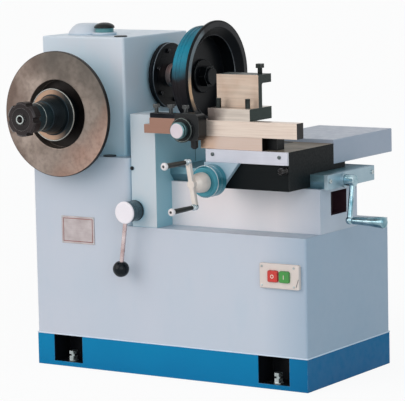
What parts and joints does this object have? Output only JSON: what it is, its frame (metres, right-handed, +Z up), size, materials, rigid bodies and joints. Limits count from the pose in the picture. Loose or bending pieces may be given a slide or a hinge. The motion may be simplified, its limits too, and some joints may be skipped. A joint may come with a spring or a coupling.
{
  "type": "brake disc and drum lathe",
  "caption": "Workshop lathe for brake discs and drums: cabinet base, headstock with two spindles at right angles, dovetail bed with cross slide, hand cranks and shift lever.",
  "frame": {"origin": "middle of the plinth's footprint on the floor", "axes": "+X right along the machine's front, +Y to its back, +Z up"},
  "size_m": [1.1963, 0.8848, 1.069],
  "materials": {
    "base_paint": "satin",
    "bolt_steel": "satin",
    "cabinet_paint": "satin",
    "head_paint": "satin",
    "black_cap": "gloss",
    "ground_iron": "ground",
    "pale_paint": "satin",
    "dark_steel": "oiled",
    "plate_metal": "matte",
    "switch_metal": "satin",
    "red_button": "gloss",
    "green_button": "gloss",
    "turned_steel": "turned",
    "disc_iron": "turned",
    "drum_iron": "turned",
    "crank_chrome": "polished",
    "black_grip": "gloss",
    "white_plastic": "gloss",
    "black_paint": "satin"
  },
  "bodies": {
    "machine": {"base_frame": "base_paint", "levelling_bolts": "bolt_steel", "cabinet": "cabinet_paint", "headstock": "head_paint", "headstock_lid": "head_paint", "filler_cap": "black_cap", "lifting_plugs": "black_cap", "feed_box": "cabinet_paint", "bed": "cabinet_paint", "bed_way": "ground_iron", "way_end_plate": "pale_paint", "front_bearing_cap": "dark_steel", "side_bearing_cap": "dark_steel", "name_plate": "plate_metal", "switch_box": "switch_metal"},
    "front_spindle": {"front_shaft": "turned_steel", "brake_disc": "disc_iron", "back_collar": "dark_steel", "clamp_cone": "dark_steel", "spacer_collar": "turned_steel", "round_nut": "dark_steel"},
    "side_spindle": {"side_shaft": "turned_steel", "side_flange": "dark_steel", "brake_drum": "drum_iron", "drum_washer": "turned_steel", "drum_nut": "turned_steel"},
    "carriage": {"saddle": "ground_iron", "saddle_end_plate": "pale_paint", "rear_cover": "pale_paint", "screw_bracket": "pale_paint"},
    "cross_slide": {"slide_foot": "ground_iron", "slide_facing": "ground_iron", "tool_bar": "ground_iron", "clamp_strip": "dark_steel", "strip_bolts": "bolt_steel", "cutter_head": "black_paint", "lock_screw": "black_cap", "post_base": "ground_iron", "tool_post": "dark_steel", "post_bolts": "dark_steel", "post_screw": "bolt_steel"},
    "cross_handle": {"cross_dial": "turned_steel", "cross_crank": "crank_chrome", "crank_grips": "black_grip", "grip_caps": "white_plastic"},
    "bed_handwheel": {"bed_crank": "crank_chrome", "bed_handle": "crank_chrome"},
    "cutter_knob": {"micrometer_knob": "white_plastic"},
    "shift_lever": {"lever_boss": "turned_steel", "lever_rod": "turned_steel", "lever_ball": "black_cap"},
    "stop": {"stop_button": "red_button"},
    "start": {"start_button": "green_button"}
  },
  "joints": [
    {"name": "front_spindle_turn", "type": "hinge", "parent": "machine", "child": "front_spindle", "pos_m": [-0.336, -0.206, 0.798], "axis": [0, 1, 0], "continuous": true},
    {"name": "side_spindle_turn", "type": "hinge", "parent": "machine", "child": "side_spindle", "pos_m": [-0.168, 0.005, 0.897], "axis": [1, 0, 0], "continuous": true},
    {"name": "bed_crank_turn", "type": "hinge", "parent": "machine", "child": "bed_handwheel", "pos_m": [0.52, -0.072, 0.61], "axis": [1, 0, 0], "range_deg": [-6480, 4320]},
    {"name": "carriage_slide", "type": "slide", "parent": "machine", "child": "carriage", "axis": [1, 0, 0], "range_m": [-0.09, 0.06]},
    {"name": "cross_crank_turn", "type": "hinge", "parent": "carriage", "child": "cross_handle", "pos_m": [0.213, -0.309, 0.6213], "axis": [0, 1, 0], "range_deg": [-7200, 0]},
    {"name": "cross_slide_travel", "type": "slide", "parent": "carriage", "child": "cross_slide", "axis": [0, 1, 0], "range_m": [-0.1, 0]},
    {"name": "cutter_knob_turn", "type": "hinge", "parent": "cross_slide", "child": "cutter_knob", "pos_m": [0.129, -0.346, 0.7686], "axis": [0, 1, 0], "continuous": true},
    {"name": "shift_lever_turn", "type": "hinge", "parent": "machine", "child": "shift_lever", "pos_m": [-0.108, -0.25, 0.506], "axis": [0, 1, 0], "range_deg": [-20, 40]},
    {"name": "stop_press", "type": "slide", "parent": "machine", "child": "stop", "axis": [0, 1, 0], "range_m": [0, 0.004], "stiffness_N_per_m": 400},
    {"name": "start_press", "type": "slide", "parent": "machine", "child": "start", "axis": [0, 1, 0], "range_m": [0, 0.004], "stiffness_N_per_m": 400}
  ],
  "couplings": [
    {"joint": "carriage_slide", "follows": "bed_crank_turn", "m_per_rad": 0.00079577},
    {"joint": "cross_slide_travel", "follows": "cross_crank_turn", "m_per_rad": 0.00079577}
  ]
}
